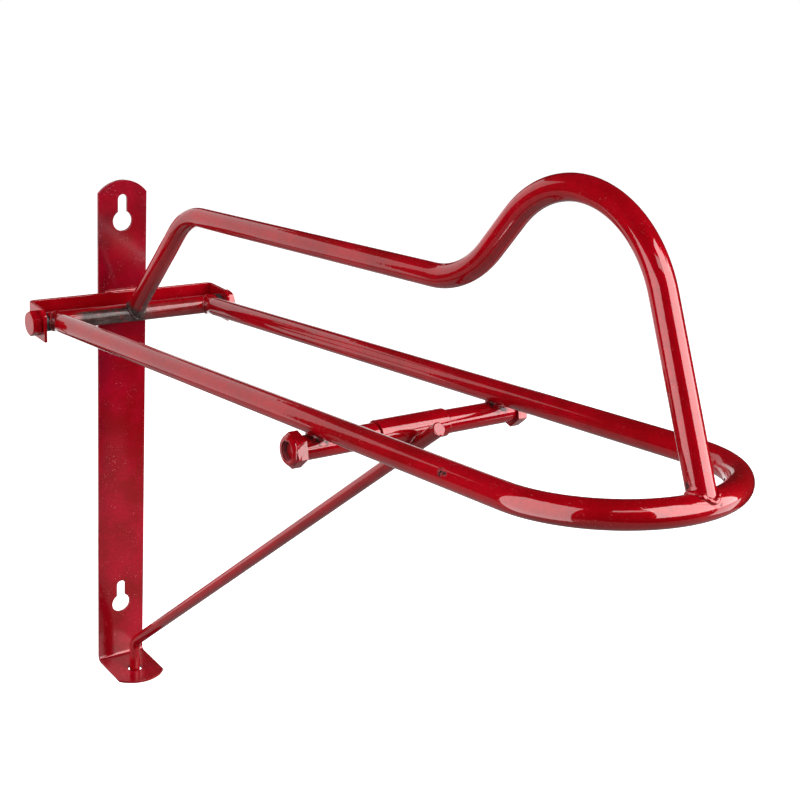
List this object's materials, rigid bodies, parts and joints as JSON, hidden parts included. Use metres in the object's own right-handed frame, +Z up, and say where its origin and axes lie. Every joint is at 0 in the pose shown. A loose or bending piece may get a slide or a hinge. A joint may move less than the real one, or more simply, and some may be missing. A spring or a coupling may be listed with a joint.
{
  "type": "folding wall-mounted saddle rack",
  "caption": "Steel wall rack: a hinged tube loop with a saddle-shaped hoop over it, held up by a swinging brace that drops into a tab on a keyholed wall bar.",
  "frame": {"origin": "on the wall face of the wall bar, on the rack's centre line, level with the hinge axis", "axes": "+X along the hinge axis, +Y into the wall, so the rack stands out along -Y, +Z up"},
  "size_m": [0.1605, 0.5791, 0.4817],
  "materials": {
    "red_enamel": "gloss",
    "sooty_steel": "scorched, thinly painted",
    "black_plastic": "satin",
    "nylon": "painted over"
  },
  "bodies": {
    "wall": {"wall_plate": "red_enamel", "hinge_bracket": "red_enamel", "bracket_welds": "red_enamel", "hinge_bolt": "red_enamel", "hinge_nut": "red_enamel", "hinge_spacer_left": "black_plastic", "hinge_spacer_right": "black_plastic"},
    "frame": {"base_loop": "red_enamel", "saddle_hoop": "red_enamel", "hinge_tube": "sooty_steel", "rail_welds": "red_enamel", "hoop_rear_weld": "sooty_steel", "hoop_front_weld": "red_enamel", "bush_left": "red_enamel", "bush_right": "red_enamel", "bush_welds": "red_enamel", "brace_bolt": "red_enamel", "brace_nut": "red_enamel", "brace_nut_ring": "nylon"},
    "brace": {"brace_sleeve": "red_enamel", "brace_rod": "red_enamel", "brace_weld": "red_enamel"}
  },
  "joints": [
    {"name": "frame_lift", "type": "hinge", "parent": "wall", "child": "frame", "pos_m": [0, -0.021, 0], "axis": [-1, 0, 0], "range_deg": [0, 30]},
    {"name": "brace_swing", "type": "hinge", "parent": "frame", "child": "brace", "pos_m": [0, -0.36194, 0.02327], "axis": [-1, 0, 0], "range_deg": [-22.5, 0]}
  ],
  "couplings": [
    {"joint": "brace_swing", "follows": "frame_lift", "ratio": -0.75}
  ]
}
